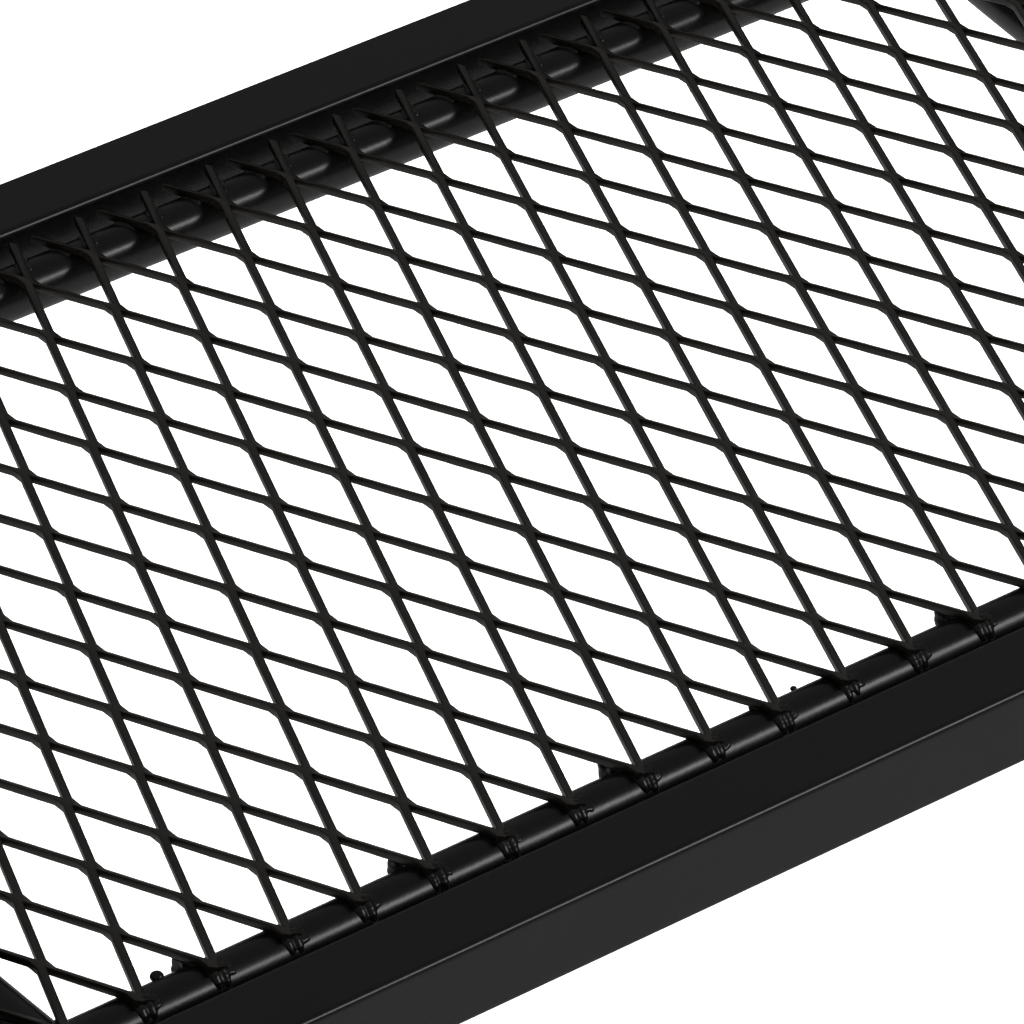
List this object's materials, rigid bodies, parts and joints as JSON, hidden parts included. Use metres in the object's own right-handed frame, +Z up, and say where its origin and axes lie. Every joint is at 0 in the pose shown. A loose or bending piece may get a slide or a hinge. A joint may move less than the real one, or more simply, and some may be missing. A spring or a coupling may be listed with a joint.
{
  "type": "hitch cargo carrier",
  "caption": "Flat expanded-metal cargo tray on square rails, folding up about a bolted hinge on a square hitch shank.",
  "frame": {"origin": "centre of the hitch pin hole, on the axis of the shank", "axes": "+X along the tray and along the hitch pin hole, +Y towards the vehicle, +Z up"},
  "size_m": [1.529, 0.8447, 0.0931],
  "materials": {
    "black_powder_coat": "semi-gloss black powder coat",
    "zinc_plate": "bright zinc plating",
    "black_plastic": "fine-grained black moulding",
    "red_lens": "prismatic red lens"
  },
  "bodies": {
    "shank": {"shank_tube": "black_powder_coat", "shank_nose_cap": "black_plastic", "pivot_sleeve": "zinc_plate", "stop_sleeve": "zinc_plate", "stop_bolt": "zinc_plate", "stop_washers": "zinc_plate"},
    "tray": {"front_rail": "black_powder_coat", "rear_rail": "black_powder_coat", "left_end_rail": "black_powder_coat", "right_end_rail": "black_powder_coat", "front_rod": "black_powder_coat", "rear_rod": "black_powder_coat", "left_end_rod": "black_powder_coat", "right_end_rod": "black_powder_coat", "left_brace_tube": "black_powder_coat", "right_brace_tube": "black_powder_coat", "front_rod_tabs": "black_powder_coat", "rear_rod_tabs": "black_powder_coat", "mesh_deck": "black_powder_coat", "spine_tube": "black_powder_coat", "hinge_bracket": "black_powder_coat", "left_gusset": "black_powder_coat", "right_gusset": "black_powder_coat", "pivot_bolt": "zinc_plate", "pivot_washers": "zinc_plate", "pivot_nut": "zinc_plate", "front_left_cap": "black_plastic", "front_right_cap": "black_plastic", "rear_left_cap": "black_plastic", "rear_right_cap": "black_plastic", "spine_cap": "black_plastic", "left_reflector_base": "black_plastic", "right_reflector_base": "black_plastic", "left_reflector_lens": "red_lens", "right_reflector_lens": "red_lens", "front_left_loop": "black_powder_coat", "front_right_loop": "black_powder_coat", "rear_left_loop": "black_powder_coat", "rear_right_loop": "black_powder_coat"},
    "knob": {"clamp_knob": "black_plastic", "knob_insert": "zinc_plate"}
  },
  "joints": [
    {"name": "fold_hinge", "type": "hinge", "parent": "shank", "child": "tray", "pos_m": [0, -0.215, 0], "axis": [-1, 0, 0], "range_deg": [0, 90]},
    {"name": "knob_turn", "type": "hinge", "parent": "shank", "child": "knob", "pos_m": [0, -0.263, 0], "axis": [1, 0, 0], "continuous": true}
  ]
}
